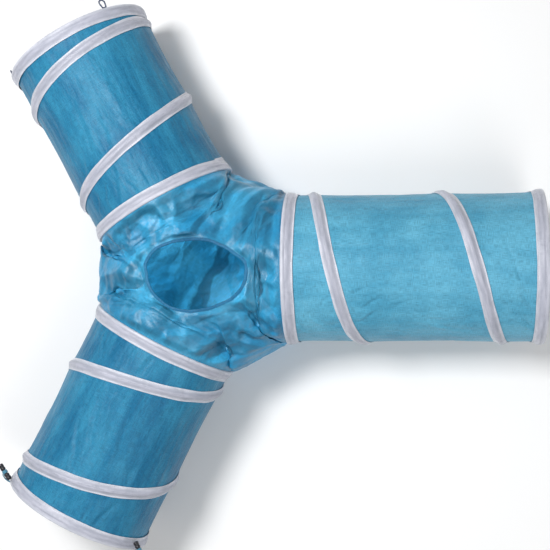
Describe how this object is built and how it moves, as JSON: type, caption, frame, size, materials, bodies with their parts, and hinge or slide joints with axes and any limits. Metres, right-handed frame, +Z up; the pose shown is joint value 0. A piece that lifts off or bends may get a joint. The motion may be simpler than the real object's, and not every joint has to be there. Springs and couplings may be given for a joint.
{
  "type": "three-way pop-up pet tunnel",
  "caption": "Collapsible fabric tunnel for cats and small pets: round spring-wire arms meet in a slack hub with an oval peephole; toggles and cord loops at two ends.",
  "frame": {"origin": "on the resting plane, under the point where the three arm axes cross; the centre of the flat underside of the hub's floor panel", "axes": "+Z up, +X along the right arm; the upper left arm runs at 118.7 degrees and the lower left arm at 242.6 degrees from +X, counterclockwise from above"},
  "size_m": [0.8823, 0.9059, 0.2502],
  "materials": {
    "right_taffeta": "light blue coated taffeta, soft sheen",
    "left_taffeta": "mid-blue coated taffeta, soft sheen",
    "hub_taffeta": "crumpled blue taffeta, glossier than the arms",
    "peephole_binding_tape": "narrow rolled hem in the hub's fabric",
    "satin_tape": "white satin piping tape, stitched along its edges",
    "spring_steel_wire": "hardened spring wire",
    "ferrule_aluminium": "crimped sleeve",
    "toggle_plastic": "black moulded barrel toggle",
    "tab_webbing": "folded blue fabric tab",
    "navy_cord": "navy braided elastic cord"
  },
  "bodies": {
    "hub": {"hub_top_panel": "hub_taffeta", "hub_floor_panel": "hub_taffeta", "peephole_binding": "peephole_binding_tape"},
    "right_arm_base": {"right_arm_hub_hoop_wire": "spring_steel_wire", "right_arm_hub_hoop_ferrule": "ferrule_aluminium", "right_arm_hub_hoop_tape": "satin_tape", "right_arm_tube_fabric": "right_taffeta", "right_arm_spiral_wire": "spring_steel_wire", "right_arm_spiral_tape": "satin_tape"},
    "right_arm_end": {"right_arm_end_hoop_wire": "spring_steel_wire", "right_arm_end_hoop_ferrule": "ferrule_aluminium", "right_arm_end_hoop_tape": "satin_tape"},
    "upper_left_arm_base": {"upper_left_arm_hub_hoop_wire": "spring_steel_wire", "upper_left_arm_hub_hoop_ferrule": "ferrule_aluminium", "upper_left_arm_hub_hoop_tape": "satin_tape", "upper_left_arm_tube_fabric": "left_taffeta", "upper_left_arm_spiral_wire": "spring_steel_wire", "upper_left_arm_spiral_tape": "satin_tape"},
    "upper_left_arm_end": {"upper_left_arm_end_hoop_wire": "spring_steel_wire", "upper_left_arm_end_hoop_ferrule": "ferrule_aluminium", "upper_left_arm_end_hoop_tape": "satin_tape"},
    "lower_left_arm_base": {"lower_left_arm_hub_hoop_wire": "spring_steel_wire", "lower_left_arm_hub_hoop_ferrule": "ferrule_aluminium", "lower_left_arm_hub_hoop_tape": "satin_tape", "lower_left_arm_tube_fabric": "left_taffeta", "lower_left_arm_spiral_wire": "spring_steel_wire", "lower_left_arm_spiral_tape": "satin_tape"},
    "lower_left_arm_end": {"lower_left_arm_end_hoop_wire": "spring_steel_wire", "lower_left_arm_end_hoop_ferrule": "ferrule_aluminium", "lower_left_arm_end_hoop_tape": "satin_tape"},
    "upper_left_arm_cord_loop_left_side": {"upper_left_arm_cord_loop_left_side": "navy_cord"},
    "upper_left_arm_cord_loop_upper_right": {"upper_left_arm_cord_loop_upper_right": "navy_cord"},
    "lower_left_arm_toggle_right_side": {"lower_left_arm_toggle_right_side": "toggle_plastic", "lower_left_arm_toggle_right_side_tab": "tab_webbing"},
    "lower_left_arm_toggle_left_side": {"lower_left_arm_toggle_left_side": "toggle_plastic", "lower_left_arm_toggle_left_side_tab": "tab_webbing"}
  },
  "joints": [
    {"name": "right_arm_swing", "type": "hinge", "parent": "hub", "child": "right_arm_base", "pos_m": [0.149, 0, 0.1252], "axis": [0, 0, 1], "range_deg": [-12, 12], "deforming": ["hub_top_panel", "hub_floor_panel"]},
    {"name": "right_arm_collapse", "type": "slide", "parent": "right_arm_base", "child": "right_arm_end", "axis": [-1, 0, 0], "range_m": [0, 0.368], "stiffness_N_per_m": 20, "springref_m": -0.1, "deforming": ["right_arm_tube_fabric", "right_arm_spiral_wire", "right_arm_spiral_tape"]},
    {"name": "upper_left_arm_swing", "type": "hinge", "parent": "hub", "child": "upper_left_arm_base", "pos_m": [-0.05907, 0.10789, 0.1252], "axis": [0, 0, 1], "range_deg": [-12, 12], "deforming": ["hub_top_panel", "hub_floor_panel"]},
    {"name": "upper_left_arm_collapse", "type": "slide", "parent": "upper_left_arm_base", "child": "upper_left_arm_end", "axis": [0.4802, -0.8771, 0], "range_m": [0, 0.271], "stiffness_N_per_m": 20, "springref_m": -0.1, "deforming": ["upper_left_arm_tube_fabric", "upper_left_arm_spiral_wire", "upper_left_arm_spiral_tape"]},
    {"name": "lower_left_arm_swing", "type": "hinge", "parent": "hub", "child": "lower_left_arm_base", "pos_m": [-0.05983, -0.11542, 0.1252], "axis": [0, 0, 1], "range_deg": [-12, 12], "deforming": ["hub_top_panel", "hub_floor_panel"]},
    {"name": "lower_left_arm_collapse", "type": "slide", "parent": "lower_left_arm_base", "child": "lower_left_arm_end", "axis": [0.4602, 0.8878, 0], "range_m": [0, 0.285], "stiffness_N_per_m": 20, "springref_m": -0.1, "deforming": ["lower_left_arm_tube_fabric", "lower_left_arm_spiral_wire", "lower_left_arm_spiral_tape"]},
    {"name": "upper_left_arm_cord_loop_left_side_flop", "type": "hinge", "parent": "upper_left_arm_end", "child": "upper_left_arm_cord_loop_left_side", "pos_m": [-0.31276, 0.32299, 0.14196], "axis": [0.1221, 0.0668, 0.9903], "range_deg": [-70, 70], "stiffness_Nm_per_rad": 0.002},
    {"name": "upper_left_arm_cord_loop_upper_right_flop", "type": "hinge", "parent": "upper_left_arm_end", "child": "upper_left_arm_cord_loop_upper_right", "pos_m": [-0.13889, 0.41818, 0.21607], "axis": [0.662, 0.3624, -0.6561], "range_deg": [-70, 70], "stiffness_Nm_per_rad": 0.002},
    {"name": "lower_left_arm_toggle_right_side_swing", "type": "hinge", "parent": "lower_left_arm_end", "child": "lower_left_arm_toggle_right_side", "pos_m": [-0.31597, -0.35023, 0.15496], "axis": [0, 0, 1], "range_deg": [0, 110]},
    {"name": "lower_left_arm_toggle_left_side_swing", "type": "hinge", "parent": "lower_left_arm_end", "child": "lower_left_arm_toggle_left_side", "pos_m": [-0.10405, -0.46008, 0.15496], "axis": [0, 0, 1], "range_deg": [-110, 0]}
  ]
}
